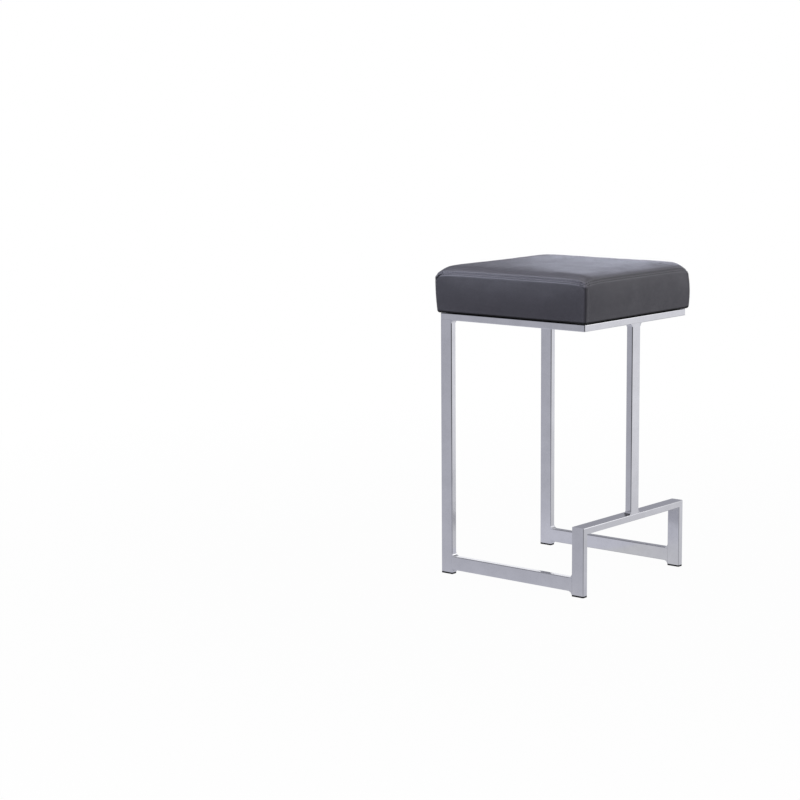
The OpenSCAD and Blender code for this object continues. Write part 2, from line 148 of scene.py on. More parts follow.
def pulled(p):
    """Leans each upright corner in or out by its own amount, which grows with the square of height
    up to the top seam and dies away with distance from the corner as a bell curve."""
    height = np.clip((p[..., 2] - SWELL_Z) / (SEAM_TOP - DIP - SWELL_Z), 0, 1) ** 2
    out = p.copy()
    for x, y, pull in CORNER_PULL:
        near = np.exp(-((p[..., 0] - x * HALF) ** 2 + (p[..., 1] - y * HALF) ** 2) / PULL_REACH ** 2)
        out += (pull * near * height)[..., None] * np.array([x, y, 0]) / math.sqrt(2)
    return out


# %% [markdown]
# ## Rows and columns of the grid
# A seam is a millimetre wide and the seat is nearly 400. So the rows lie close together beside
# the seam and spread out with distance, and the columns do the same beside each corner seam. Each
# row keeps its true distance from the seam, which lets a row of stitches follow it exactly.

# %% Spacing of rows and columns
NEAR = np.array([0, .35, .75, 1.2, 1.7, 2.2, 2.6, 3, 3.4, 3.8, 4.3, 5, 5.9, 7, 8.5, 10.5, 13,
                 16, 19.5]) * MM
STITCH_AT = 2.6 * MM
BAND_HALF = 6 * MM
STITCH_ROW = int(np.argmin(np.abs(NEAR - STITCH_AT)))
TOP_SHARES = np.array([.03, .07, .115, .165, .22, .28, .345, .415, .49, .57, .65, .73, .81, .88,
                       .935, .97, .99])
SIDE_SHARES = np.array([.07, .14, .21, .28, .35, .42, .49, .56, .63, .70, .77, .84, .90, .95, 1])
BESIDE_CORNER = np.array([0, .4, .9, 1.5, 2.3, 3.3, 4.6, 6.2, 8, 10]) * MM
COLUMN_STEP = 2.1 * MM


def columns_of_a_side():
    """Shares s from -1 to just under 1: close beside both corners, even in between."""
    outer = HALF - BESIDE_CORNER[:-1]
    inner = HALF - BESIDE_CORNER[-1]
    even = np.linspace(-inner, inner, int(2 * inner / COLUMN_STEP) + 1)
    return np.concatenate([-outer, even, outer[::-1]])[:-1] / HALF


SIDE_COLUMNS = columns_of_a_side()
print("columns on a side:", len(SIDE_COLUMNS), "rows beside the seam:", len(NEAR))


# %% Rows of one side
EDGE_TURNS = np.array([15, 30, 45, 60, 75, 90])
# Rows under the board: how far in from the turned edge, the lift, and the droop at a corner.
UNDER_ROWS = np.array([
    (4, 1.1, 2.0), (10, 0.5, 0.5), (16, 0, 0), (22, 0, 0), (FLAP / MM, 0, 0), (FLAP / MM + .2, 1.2, 0),
    (60, 1.3, 0), (110, 1.3, 0), (150, 1.3, 0)]) * MM


def top_rows(s, near, shares):
    """Rows of the top panel, from the middle out to the seam. Each column is walked in fine
    steps from the seam inwards, its length is summed, and the rows are read off that length."""
    turn = np.linspace(0, np.pi / 2, 400)
    on_roll = 1 - ROLL_W * (1 - np.cos(turn)) / HALF
    walk = np.concatenate([on_roll, np.linspace(on_roll[-1], 0, 120)[1:]])
    points = top_point(walk[:, None], s[None, :])
    steps = np.linalg.norm(np.diff(points, axis=0), axis=-1)
    length = np.concatenate([np.zeros((1, len(s))), np.cumsum(steps, axis=0)])
    rows = np.empty((len(near) + len(shares), len(s)))
    for j in range(len(s)):
        wanted = np.concatenate([near, near[-1] + shares * (length[-1, j] - near[-1])])
        rows[:, j] = np.interp(wanted, length[:, j], walk)
    return top_point(rows, s[None, :])[::-1]


def side_rows(s, near, shares):
    """Rows below the seam: the upright side, the turned lower edge, and the rows under the board."""
    upright = seam_height(s) - SWELL_Z
    down = np.concatenate([near[1:, None] + 0 * s, near[-1] + shares[:, None] * (upright - near[-1])])
    side = side_point(s[None, :] + 0 * down, 1 - down / upright)
    turn = np.radians(EDGE_TURNS)[:, None]
    out = HALF + side_out(s, 0 * s)
    corner = HALF + side_out(np.ones_like(s), 0 * s)
    drawn = EDGE_R * (1 - np.cos(turn))
    droop = s ** 8
    lowest = EDGE_R - EDGE_LIFT * (1 - droop) + EDGE_DROOP * droop
    edge = np.stack(np.broadcast_arrays(
        out - drawn, s * (corner - drawn), SWELL_Z - lowest * np.sin(turn)), -1)
    inwards = EDGE_R + UNDER_ROWS[:, :1]
    lift = UNDER_ROWS[:, 1:2] - UNDER_ROWS[:, 2:] * droop
    flap = np.stack(np.broadcast_arrays(
        out - inwards, s * (corner - inwards), UNDERSIDE + lift), -1)
    return np.concatenate([side, edge, flap])


# %% [markdown]
# ## Turning one side into the whole cover
# The seat is square, so the other three sides are the first one turned by a quarter, a half and
# three quarters. That gives one array of rows by columns by three, closed by a point in the
# middle of the top and one in the middle of the underside.

# %% Whole grid
def turned(points, quarter):
    """Points turned about the upright axis by a number of quarter turns."""
    c, s = [(1, 0), (0, 1), (-1, 0), (0, -1)][quarter]
    x, y, z = points[..., 0], points[..., 1], points[..., 2]
    return np.stack([c * x - s * y, s * x + c * y, z], -1)


def whole_grid(s, near, top_shares, side_shares):
    """The cover as one array, with the row number of the seam."""
    top = top_rows(s, near, top_shares)
    side = np.concatenate([top, side_rows(s, near, side_shares)])
    return pulled(np.concatenate([turned(side, k) for k in range(4)], axis=1)), len(top) - 1


def grid_normals(p):
    """Unit normals: the cross product of the steps along a column and along a row."""
    down = np.gradient(p, axis=0)
    across = np.roll(p, -1, axis=1) - np.roll(p, 1, axis=1)
    n = np.cross(down, across)
    return n / np.maximum(np.linalg.norm(n, axis=-1, keepdims=True), 1e-12)


GRID, SEAM_ROW = whole_grid(SIDE_COLUMNS, NEAR, TOP_SHARES, SIDE_SHARES)
NORMALS = grid_normals(GRID)
print("cover grid:", GRID.shape[0], "rows by", GRID.shape[1], "columns, seam in row", SEAM_ROW)


# %% Mesh from a closed grid
def smooth_mesh(name, points, faces):
    """Mesh of points and faces, shaded smooth."""
    mesh = bpy.data.meshes.new(name)
    mesh.from_pydata(points.reshape(-1, 3).tolist(), [], faces)
    mesh.polygons.foreach_set("use_smooth", [True] * len(mesh.polygons))
    mesh.update()
    return mesh


def ring_quads(rows, cols):
    """Quads between the rows of a grid that closes round its columns."""
    i, j = np.meshgrid(np.arange(rows - 1), np.arange(cols), indexing="ij")
    k = (j + 1) % cols
    quads = np.stack([i * cols + j, (i + 1) * cols + j, (i + 1) * cols + k, i * cols + k], -1)
    return quads.reshape(-1, 4)


def fan(start, cols, pole):
    """Triangles from each step of a closed row to one point."""
    c = np.arange(cols)
    return np.stack([start + c, start + (c + 1) % cols, np.full(cols, pole)], -1)


def closed_mesh(name, p):
    """Mesh of a grid that closes round its columns, with a pole point above its first row and
    one below its last. Faces are quads between the rows and triangles at the two poles."""
    rows, cols = p.shape[:2]
    points = np.concatenate([p.reshape(-1, 3), np.stack([p[0].mean(0), p[-1].mean(0)])])
    top = fan(0, cols, rows * cols)
    low = fan((rows - 1) * cols, cols, rows * cols + 1)[:, [1, 0, 2]]
    return smooth_mesh(name, points, ring_quads(rows, cols).tolist() + top.tolist() + low.tolist())


def place(name, mesh):
    """An object for a finished mesh, at the origin and unturned."""
    piece = bpy.data.objects.new(name, mesh)
    scene.collection.objects.link(piece)
    return piece


def points_of(mesh):
    """The places of a mesh's points as one array."""
    places = np.empty(len(mesh.vertices) * 3, np.float32)
    mesh.vertices.foreach_get("co", places)
    return places.reshape(-1, 3)


# %% [markdown]
# ## Foam pushing the cover out
# The cover is cut slightly small and pulled over the foam, so each panel bulges between its
# seams and no two sides bulge alike. A cloth simulation gives that better than a formula: a
# coarse copy of the cover is remeshed, held along its top seam and under the board, and blown up
# from inside. The fine grid then follows it through a Surface Deform modifier, and a share of that
# move is kept, with a limit on how far a point may go.

# %% Simulated swelling
VOXEL = 6 * MM
SIM_FRAMES = 20
MOST_MOVE = 2.0 * MM
SHARED_PART = 0.35
UNEVEN_PART = 0.15
SMOOTHING = 40
UNDER_COVER = 2 * MM
SEAM_GRIP, SEAM_REACH = 0.55, 4 * MM
CLOTH_SETTINGS = {
    "use_pressure": True, "uniform_pressure_force": 4, "vertex_group_mass": "held", "quality": 6,
    "tension_stiffness": 40, "compression_stiffness": 40, "shear_stiffness": 20,
    "bending_stiffness": 2, "shrink_min": -0.012}


def simulated_swelling():
    """Outward move of each grid point, in metres, from the cloth simulation."""
    coarse, _ = whole_grid(SIDE_COLUMNS[::3], NEAR[::3], TOP_SHARES[::2], SIDE_SHARES[::2])
    small = coarse - grid_normals(coarse) * UNDER_COVER
    body = place("swelling_body", closed_mesh("swelling_body", small))
    remesh = body.modifiers.new("remesh", "REMESH")
    remesh.mode = "VOXEL"
    remesh.voxel_size = VOXEL
    dg = bpy.context.evaluated_depsgraph_get()
    body.data = bpy.data.meshes.new_from_object(body.evaluated_get(dg))
    body.modifiers.clear()
    co = points_of(body.data)
    reach = np.maximum(np.abs(co[:, 0]), np.abs(co[:, 1])) / HALF
    share = np.minimum(np.abs(co[:, 0]), np.abs(co[:, 1])) / HALF
    on_seam = (np.abs(co[:, 2] - seam_height(share)) < SEAM_REACH) & (reach > 0.9)
    held = co[:, 2] < SWELL_Z
    group = body.vertex_groups.new(name="held")
    group.add(np.flatnonzero(on_seam & ~held).tolist(), SEAM_GRIP, "REPLACE")
    group.add(np.flatnonzero(held).tolist(), 1.0, "REPLACE")
    fine = closed_mesh("swelling_follower", GRID - NORMALS * UNDER_COVER)
    follower = place("swelling_follower", fine)
    follow = follower.modifiers.new("follow", "SURFACE_DEFORM")
    follow.target = body
    bpy.context.view_layer.objects.active = follower
    with bpy.context.temp_override(object=follower, active_object=follower):
        bpy.ops.object.surfacedeform_bind(modifier="follow")
    cloth = body.modifiers.new("cloth", "CLOTH")
    for name, value in CLOTH_SETTINGS.items():
        setattr(cloth.settings, name, value)
    cloth.settings.effector_weights.gravity = 0
    cloth.collision_settings.use_collision = False
    cloth.point_cache.frame_start = 1
    cloth.point_cache.frame_end = SIM_FRAMES
    for f in range(1, SIM_FRAMES + 1):
        scene.frame_set(f)
    dg = bpy.context.evaluated_depsgraph_get()
    moved = points_of(follower.evaluated_get(dg).data) - points_of(follower.data)
    moved = moved[:-2].reshape(GRID.shape)
    scene.frame_set(1)
    for helper in (follower, body):
        mesh = helper.data
        bpy.data.objects.remove(helper)
        bpy.data.meshes.remove(mesh)
    return (moved * NORMALS).sum(-1)


def settled(swelling):
    """The swelling kept on the cover: a share of the part that is alike on all four sides, a share
    of what differs from side to side, and a soft limit that caps their sum."""
    for _ in range(SMOOTHING):
        swelling = (np.roll(swelling, 1, 1) + 2 * swelling + np.roll(swelling, -1, 1)) / 4
    quarter = swelling.reshape(len(swelling), 4, -1).mean(axis=1)
    shared = np.tile((quarter + np.roll(quarter[:, ::-1], 1, axis=1)) / 2, (1, 4))
    kept = SHARED_PART * shared + UNEVEN_PART * (swelling - shared)
    return MOST_MOVE * np.tanh(kept / MOST_MOVE)


SWELLING = settled(simulated_swelling())
print("swelling kept, mm:", np.round(np.percentile(SWELLING, [0, 25, 50, 75, 100]) / MM, 2))

# %% [markdown]
# ## Seams, puckers and the final cover
# A seam draws the cover into a narrow ditch. On this cushion the edges are turned to both sides
# and sewn down, so a slightly raised band runs along each side of the top seam, with a row of
# stitches in it that pulls the cover in a little. The thread also gathers the cover, which shows
# as small puckers that grow towards the corners, and under some corners the side panels are
# pinched. Each of these is a height along the normals, worked out from the distance to the seam.
# The cover also keeps four masks for its material: painted shade at the seam, the pinches and the lower
# edge, painted shade at the corner seams, rubbing and the band.

# %% Distances on the grid
steps = np.linalg.norm(np.diff(GRID, axis=0), axis=-1)
walked = np.concatenate([np.zeros((1, GRID.shape[1])), np.cumsum(steps, axis=0)])
FROM_SEAM = np.abs(walked - walked[SEAM_ROW])
row = np.abs(np.arange(GRID.shape[0]) - SEAM_ROW)
FAR = 50 * MM
NOMINAL = np.where(row < len(NEAR), NEAR[np.minimum(row, len(NEAR) - 1)], FAR)[:, None]
BELOW = (np.arange(GRID.shape[0]) > SEAM_ROW)[:, None]
ALONG = np.tile(SIDE_COLUMNS * HALF, 4)
FROM_CORNER = HALF - np.abs(ALONG)
SIDE_NUMBER = np.repeat(np.arange(4), len(SIDE_COLUMNS))
TURNED_ROW = int(np.argmax(GRID[:, 0, 2] <= SWELL_Z + 1e-6))
UPRIGHT = (np.arange(GRID.shape[0]) <= TURNED_ROW)[:, None]
print("rows of the lower edge start at", TURNED_ROW)


# %% Heights of seams and puckers
def hump(distance, centre, width):
    """A bell curve."""
    return np.exp(-((distance - centre) / width) ** 2)


# The pinch is a slanting fold below the seam. Its shares are those of the corners, from the front
# right one round by the rear.
PINCH_LENGTH = 14 * MM
PINCH_SHARE = np.array([0.1, 0.4, 1.0, 0.35])[(SIDE_NUMBER + (ALONG > 0)) % 4]
PINCH = hump(FROM_CORNER, PINCH_LENGTH - FROM_SEAM, 2.3 * MM) * PINCH_SHARE * BELOW
PINCH = PINCH * np.clip(3 - 3 * FROM_SEAM / PINCH_LENGTH, 0, 1)


def seam_relief():
    """The ditch of the top seam, the raised bands and the two stitched lines."""
    ditch = -0.15 * MM * np.exp(-FROM_SEAM / (0.5 * MM))
    band = 0.3 * MM / (1 + np.exp((NOMINAL - BAND_HALF) / (0.6 * MM)))
    sewn = -0.12 * MM * hump(NOMINAL, STITCH_AT, 0.6 * MM)
    return ditch + band * (1 - np.exp(-FROM_SEAM / (0.9 * MM))) + sewn


def corner_relief():
    """The upright seams at the corners, and the pinch where they meet the top seam."""
    fade = 1 - np.exp(-FROM_SEAM / (2 * MM))
    lower = np.clip((GRID[..., 2] - UNDERSIDE) / EDGE_R, 0, 1)
    upright = -0.2 * MM * np.exp(-FROM_CORNER / (0.5 * MM)) * fade * lower * BELOW
    plump = 0.35 * MM * hump(FROM_CORNER, 5 * MM, 3 * MM) * fade * lower * BELOW
    reach = np.hypot(FROM_SEAM, FROM_CORNER)
    return upright + plump - 0.7 * MM * hump(reach, 0, 5 * MM) - 1.6 * MM * PINCH


def pucker_relief(rng):
    """Short waves across the seam. Their height is a sum of three sines along the seam, it grows
    near a corner, and it rises and dies away with distance from the seam."""
    waves = np.zeros_like(FROM_SEAM)
    for length, weight in ((7.3, 0.5), (11.9, 0.4), (18.7, 0.45)):
        phase = rng.uniform(0, 2 * np.pi, 4)[SIDE_NUMBER]
        drift = 1.5 * np.sin(ALONG / (31 * MM) + phase)
        waves += weight * np.sin(2 * np.pi * ALONG / (length * MM) + phase + drift)
    size = 0.04 * MM + 0.36 * MM * np.exp(-FROM_CORNER / (16 * MM))
    reach = FROM_SEAM / (6.5 * MM)
    return size * waves * reach * np.exp(1 - reach) * UPRIGHT


rng = np.random.default_rng(11)
RELIEF = seam_relief() + corner_relief() + pucker_relief(rng)
COVER = GRID + NORMALS * (SWELLING + RELIEF)[..., None]
print("relief from", round(RELIEF.min() / MM, 2), "to", round(RELIEF.max() / MM, 2), "mm")

# %% Cushion cover
cover = place("cushion_cover", closed_mesh("cushion_cover", COVER))
# Painted shade: the seam, the stitch rows and the pinches are darkened, and under adds painted shade
# along the turned lower edge of the cover.
crease = 0.1 * np.exp(-FROM_SEAM / (0.5 * MM)) + 0.1 * hump(NOMINAL, STITCH_AT, 0.45 * MM) + 1.3 * PINCH
under = np.clip((UNDERSIDE + 4.8 * MM - GRID[..., 2]) / (1.2 * MM), 0, 1)
MASKS = {
    "crease": np.clip(crease + under, 0, 1),
    "rub": hump(FROM_SEAM, 17 * MM, 9 * MM) * ~BELOW,
    # Painted shade along the upright corner seams.
    "side_crease": 0.2 * np.exp(-FROM_CORNER / (0.4 * MM)) * BELOW,
    "band": 1 / (1 + np.exp((FROM_SEAM - BAND_HALF) / (0.8 * MM))),
}
for name, mask in MASKS.items():
    layer = cover.data.attributes.new(name, "FLOAT", "POINT")
    values = np.append(np.broadcast_to(mask, FROM_SEAM.shape).ravel(), [0, 0])
    layer.data.foreach_set("value", values.astype(np.float32))
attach(cover, "root")
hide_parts("cover_top_panel", "cover_front_panel", "cover_rear_panel", "cover_left_panel",
            "cover_right_panel")
print("cover:", len(cover.data.polygons), "faces")

# %% [markdown]
# ## Thread
# Heavy dark thread runs in the sewn band, one row on each side of the seam. Dashes painted by a
# texture would lie flat, so each stitch is a short bowed thread whose two ends dive into the cover.
# One small shape is worked out once and copied to evenly spaced places on the grid's row.

# %% Stitches
STITCH_PITCH = 7.0 * MM
STITCH = 3.2 * MM
THREAD_R = 0.85 * MM
CORNER_FREE = 4 * MM
THREAD_SIDES = 6
# Mean and spread of a stitch's slant in degrees, and of its lift as a share of the thread's radius.
SLANT = (7, 2)
LIFT = (0.1, 0.06)


def stitch_shape():
    """One thread: rings round a bowed line, closed by a point at both ends. Along the line the
    radius is the root of one minus a sixth power, and the bow is a falling square."""
    t = np.array([-0.93, -0.6, 0, 0.6, 0.93])[:, None]
    a = np.linspace(0, 2 * np.pi, THREAD_SIDES, endpoint=False)
    r = THREAD_R * np.sqrt(1 - np.abs(t) ** 6)
    bow = THREAD_R * (0.45 - 1.5 * t ** 2)
    rings = np.stack(np.broadcast_arrays(t * STITCH / 2, r * np.cos(a), bow + r * np.sin(a)), -1)
    ends = np.array([[-STITCH / 2, 0, -1.1 * THREAD_R], [STITCH / 2, 0, -1.1 * THREAD_R]])
    verts = np.concatenate([rings.reshape(-1, 3), ends])
    quads = ring_quads(len(t), THREAD_SIDES)[:, [0, 3, 2, 1]]
    first = fan(0, THREAD_SIDES, len(verts) - 2)[:, [1, 0, 2]]
    last = fan((len(t) - 1) * THREAD_SIDES, THREAD_SIDES, len(verts) - 1)
    return verts, quads, np.concatenate([first, last])


def evenly(line, count, shift):
    """Points at equal distances along a closed line, given by its corner points."""
    closed = np.concatenate([line, line[:1]])
    length = np.concatenate([[0], np.cumsum(np.linalg.norm(np.diff(closed[:, :3], axis=0), axis=1))])
    at = ((np.arange(count) + shift) / count % 1) * length[-1]
    return np.stack([np.interp(at, length, closed[:, k]) for k in range(closed.shape[1])], -1)


def unit(v):
    """Arrows brought to length one."""
    return v / np.linalg.norm(v, axis=-1, keepdims=True)


def stitch_rows(name, rows):
    """All stitches of the given grid rows as one mesh. The corners, where the rows turn, are left
    free."""
    shape, quads, tris = stitch_shape()
    normals = grid_normals(COVER)
    blocks = []
    # A second point a little ahead of each stitch gives its direction along the row.
    for number in rows:
        line = np.concatenate([COVER[number], normals[number]], axis=1)
        length = np.linalg.norm(np.roll(COVER[number], -1, axis=0) - COVER[number], axis=1).sum()
        count = int(round(length / STITCH_PITCH))
        here = evenly(line, count, 0.5)
        ahead = evenly(line, count, 0.62)[:, :3]
        n = unit(here[:, 3:])
        t = unit(ahead - here[:, :3])
        slant = np.radians(rng.normal(*SLANT, count))[:, None]
        b = unit(np.cross(n, t))
        t = unit(np.cos(slant) * t + np.sin(slant) * b)
        b = np.cross(n, t)
        seated = here[:, :3] + n * THREAD_R * rng.normal(*LIFT, count)[:, None]
        made = (seated[:, None] + shape[None, :, :1] * t[:, None] + shape[None, :, 1:2] * b[:, None]
                + shape[None, :, 2:] * n[:, None])
        from_corner = np.abs(np.abs(seated[:, 0]) - np.abs(seated[:, 1]))
        blocks.append(made[from_corner > CORNER_FREE])
    verts = np.concatenate(blocks)
    offset = np.arange(len(verts))[:, None, None] * len(shape)
    faces = (quads + offset).reshape(-1, 4).tolist() + (tris + offset).reshape(-1, 3).tolist()
    print(name, "has", len(verts), "stitches")
    return place(name, smooth_mesh(name, verts, faces))


thread = stitch_rows("seam_stitches", (SEAM_ROW - STITCH_ROW, SEAM_ROW + STITCH_ROW))
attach(thread, "root")

# %% [markdown]
# ## Foam
# The foam block can't be seen on the finished stool, but the part comes apart, so it has its own
# piece: the same surface, drawn in under the cover and cut off flat where it lies on the board.

# %% Foam block
BOARD_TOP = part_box("seat_board")[1].z
FOAM_INSET = 4.2 * MM


def foam_grid():
    """The cover's surface drawn in along its normals, then flat rows towards the middle."""
    s = SIDE_COLUMNS[::4]
    coarse, _ = whole_grid(s, NEAR[::3], TOP_SHARES[::2], SIDE_SHARES)
    inner = coarse - grid_normals(coarse) * FOAM_INSET
    above = inner[inner[..., 2].min(axis=1) > BOARD_TOP + MM]
    rim = above[-1].copy()
    rim[:, 2] = BOARD_TOP + 0.2 * MM
    flat = [rim] + [rim * [k, k, 1] for k in (0.96, 0.7, 0.35, 0.1)]
    return np.concatenate([above, np.stack(flat)])


foam = place("foam_core", closed_mesh("foam_core", foam_grid()))
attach(foam, "root")
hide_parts("foam_block")
print("foam:", len(foam.data.polygons), "faces")

# %% [markdown]
# ## Cloth under the seat
# Thin black non-woven cloth closes the cushion from below. It is stapled near its edge and sags
# by a few millimetres inside the ring. A flat grid with a shallow bowl and a few soft waves across
# it says the same as a simulation, and takes no time.

# %% Dust cloth
CLOTH_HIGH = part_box("dust_cover")[1]
CLOTH_HALF = CLOTH_HIGH.x
CLOTH_T = 0.9 * MM
CLOTH_CELLS = 100
CLOTH_CORNER = 11 * MM
CLOTH_SAG = 3.2 * MM
CLOTH_WAVE = 0.3 * MM
BOLT_HOLE = 4.2 * MM
BOLT_HEAD = 5.5 * MM
TUBE_W = 30 * MM
RING_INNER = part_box("ring_left_tube")[0].x + TUBE_W
BOLT_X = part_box("seat_bolts")[1].x - BOLT_HEAD
BOLT_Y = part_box("seat_bolts")[1].y - BOLT_HEAD


def cloth_surface():
    """Square with round corners: in each corner the offset from the arc's centre is shortened
    so that its longer part becomes its length. The sag is a product of two falling squares, and
    the waves are a sine that bends."""
    g = np.linspace(-1, 1, CLOTH_CELLS + 1) * CLOTH_HALF
    x, y = np.meshgrid(g, g, indexing="ij")
    dx = np.maximum(np.abs(x) - CLOTH_HALF + CLOTH_CORNER, 0)
    dy = np.maximum(np.abs(y) - CLOTH_HALF + CLOTH_CORNER, 0)
    far = np.hypot(dx, dy)
    scale = np.where((dx > 0) & (dy > 0), np.maximum(dx, dy) / np.maximum(far, 1e-9), 1)
    px = np.sign(x) * (np.abs(x) - dx + dx * scale)
    py = np.sign(y) * (np.abs(y) - dy + dy * scale)
    a, b = np.clip(px / abs(RING_INNER), -1, 1), np.clip(py / abs(RING_INNER), -1, 1)
    waves = np.sin(8 * a + 3 * b + 2 * np.sin(3 * b))
    hanging = (CLOTH_SAG + CLOTH_WAVE * waves) * (1 - a ** 2) * (1 - b ** 2)
    return px, py, CLOTH_HIGH.z - 0.05 * MM - hanging


def cloth_mesh():
    """Mesh of the cloth without the cells that lie over a bolt."""
    px, py, z = cloth_surface()
    n = CLOTH_CELLS + 1
    i, j = np.meshgrid(np.arange(CLOTH_CELLS), np.arange(CLOTH_CELLS), indexing="ij")
    quads = np.stack([i * n + j, i * n + j + 1, (i + 1) * n + j + 1, (i + 1) * n + j], -1)
    quads = quads.reshape(-1, 4)
    verts = np.stack([px, py, z], -1).reshape(-1, 3)
    middle = verts[quads].mean(axis=1)
    at_bolt = np.hypot(np.abs(middle[:, 0]) - BOLT_X, np.abs(middle[:, 1]) - BOLT_Y) < BOLT_HOLE
    return smooth_mesh("dust_cloth", verts, quads[~at_bolt].tolist())


dust = place("dust_cloth", cloth_mesh())
thick = dust.modifiers.new("thickness", "SOLIDIFY")
thick.thickness = CLOTH_T
thick.offset = 1
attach(dust, "root")
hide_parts("dust_cover")
print("dust cloth:", round(2 * CLOTH_HALF, 3), "m square, bolts at", round(BOLT_X, 4), round(BOLT_Y, 4))

# %% [markdown]
# ## Building materials from nodes
# Every finish below is a small network of nodes. A few helpers keep that short: the first adds a
# node and fills or links its inputs, and the others name its common uses, such as a product, a mix
# or a bump. An effect that several finishes share, such as fine wear, is a node group with named
# sockets, and only its values change.

# %% Node helpers
def feed(tree, value, socket):
    """Links an output to an input, or sets the input to a plain value."""
    if isinstance(value, bpy.types.NodeSocket):
        tree.links.new(value, socket)
    else:
        socket.default_value = value


def add(tree, kind, inputs=None, **settings):
    """Adds a node with its settings and feeds its inputs."""
    node = tree.nodes.new(kind)
    for name, value in settings.items():
        setattr(node, name, value)
    for name, value in (inputs or {}).items():
        feed(tree, value, node.inputs[name])
    return node


def maths(tree, operation, a, b=0.0, clamp=False):
    """Output of a Math node."""
    return add(tree, "ShaderNodeMath", {0: a, 1: b}, operation=operation, use_clamp=clamp).outputs[0]


def times(tree, a, b):
    """Output of a product."""
    return maths(tree, "MULTIPLY", a, b)


def plus(tree, a, b, clamp=False):
    """Output of a sum."""
    return maths(tree, "ADD", a, b, clamp)


def vectors(tree, operation, a, b=None):
    """Output of a Vector Math node: an arrow, or a number where a length is asked for."""
    inputs = {0: a} if b is None else {0: a, 1: b}
    node = add(tree, "ShaderNodeVectorMath", inputs, operation=operation)
    return node.outputs["Value" if operation == "LENGTH" else 0]


def parts(tree, vector):
    """The X, Y and Z outputs of an arrow."""
    return add(tree, "ShaderNodeSeparateXYZ", {0: vector}).outputs


def bumped(tree, height, strength, distance, **normal):
    """Output of a Bump node. The distance is the height of the relief in metres."""
    inputs = {"Height": height, "Strength": strength, "Distance": distance, **normal}
    return add(tree, "ShaderNodeBump", inputs).outputs[0]


def mix(tree, factor, a, b, kind="MIX"):
    """Output of a Mix node for colours."""
    node = add(tree, "ShaderNodeMix", {0: factor, 6: a, 7: b}, data_type="RGBA", blend_type=kind)
    return node.outputs[2]


def remap(tree, value, low, high, to_low=0.0, to_high=1.0):
    """Output of a Map Range node that is held within its limits."""
    inputs = {0: value, 1: low, 2: high, 3: to_low, 4: to_high}
    return add(tree, "ShaderNodeMapRange", inputs).outputs[0]


def ramp(tree, value, stops):
    """Output of a Color Ramp of grey stops, given as pairs of place and tone."""
    node = add(tree, "ShaderNodeValToRGB", {"Fac": value})
    marks = node.color_ramp.elements
    for mark, (at, grey) in zip([marks[0], marks[1]] + [marks.new(0.5) for _ in stops[2:]], stops):
        mark.position = at
        mark.color = (grey, grey, grey, 1)
    return node.outputs["Color"]


def noise(tree, vector, scale, detail=3.0, rough=0.5):
    """Output of a Noise node."""
    inputs = {"Vector": vector, "Scale": scale, "Detail": detail, "Roughness": rough}
    return add(tree, "ShaderNodeTexNoise", inputs).outputs["Fac"]


def voronoi(tree, vector, scale, feature="F1", randomness=1.0):
    """Distance output of a Voronoi node."""
    inputs = {"Vector": vector, "Scale": scale, "Randomness": randomness}
    return add(tree, "ShaderNodeTexVoronoi", inputs, feature=feature).outputs["Distance"]


def group(name, inputs, outputs):
    """A shader node group with named inputs and their values, and named outputs."""
    tree = bpy.data.node_groups.new(name, "ShaderNodeTree")
    for label, (kind, value) in inputs.items():
        socket = tree.interface.new_socket(label, in_out="INPUT", socket_type=kind)
        if value is not None:
            socket.default_value = value
    for label, kind in outputs.items():
        tree.interface.new_socket(label, in_out="OUTPUT", socket_type=kind)
    return tree, add(tree, "NodeGroupInput").outputs, add(tree, "NodeGroupOutput").inputs


def use(tree, made, inputs):
    """Places a node group in a material."""
    return add(tree, "ShaderNodeGroup", inputs, node_tree=made).outputs


def emptied(made):
    """The node tree of a material or a world, with nothing in it."""
    made.use_nodes = True
    made.node_tree.nodes.clear()
    return made.node_tree


def material(name):
    """A new material: its tree, its shader and its Object coordinates."""
    made = bpy.data.materials.new(name)
    tree = emptied(made)
    shader = add(tree, "ShaderNodeBsdfPrincipled")
    tree.links.new(shader.outputs[0], add(tree, "ShaderNodeOutputMaterial").inputs["Surface"])
    return made, tree, shader, add(tree, "ShaderNodeTexCoord").outputs["Object"]


def drive(tree, shader, **sockets):
    """Feeds the shader's inputs, called by their names without spaces."""
    for name, value in sockets.items():
        feed(tree, value, next(s for s in shader.inputs if s.name.replace(" ", "") == name))


F, V = "NodeSocketFloat", "NodeSocketVector"


# %% [markdown]
# ## Shared effects
# Handling leaves soft smudges of two sizes on any smooth surface, polishing leaves hair lines that
# run one way, coated fabric is pressed with a grain, and a painted dark reflection lies along the
# rounded edges of plating. Each is worked out from the place in the stool or the way the surface
# faces, so it stays put from any side, and comes out as a mask between zero and one, with a height
# where it is also felt.

# %% Group: smudges
def smudge_group():
    """Two noises, a large and a small one, added and cut to a mask."""
    tree, i, o = group("smudges", {"Place": (V, None), "Size": (F, 30.0)}, {"Mask": F})
    large = noise(tree, i["Place"], i["Size"], 4.0, 0.55)
    small = noise(tree, i["Place"], times(tree, i["Size"], 5.3), 2.0, 0.6)
    both = plus(tree, times(tree, large, 0.72), times(tree, small, 0.28))
    tree.links.new(remap(tree, both, 0.4, 0.66), o["Mask"])
    return tree


SMUDGES = smudge_group()


# %% Group: hair lines
def hairline_group():
    """A fine noise on stretched coordinates, so that its specks become lines."""
    tree, i, o = group(
        "hair_lines", {"Place": (V, None), "Stretch": (V, (1, 1, 1)), "Fine": (F, 900.0)},
        {"Mask": F, "Height": F})
    lines = noise(tree, vectors(tree, "MULTIPLY", i["Place"], i["Stretch"]), i["Fine"], 4.0, 0.7)
    tree.links.new(remap(tree, lines, 0.55, 0.75), o["Mask"])
    tree.links.new(lines, o["Height"])
    return tree


HAIRLINES = hairline_group()


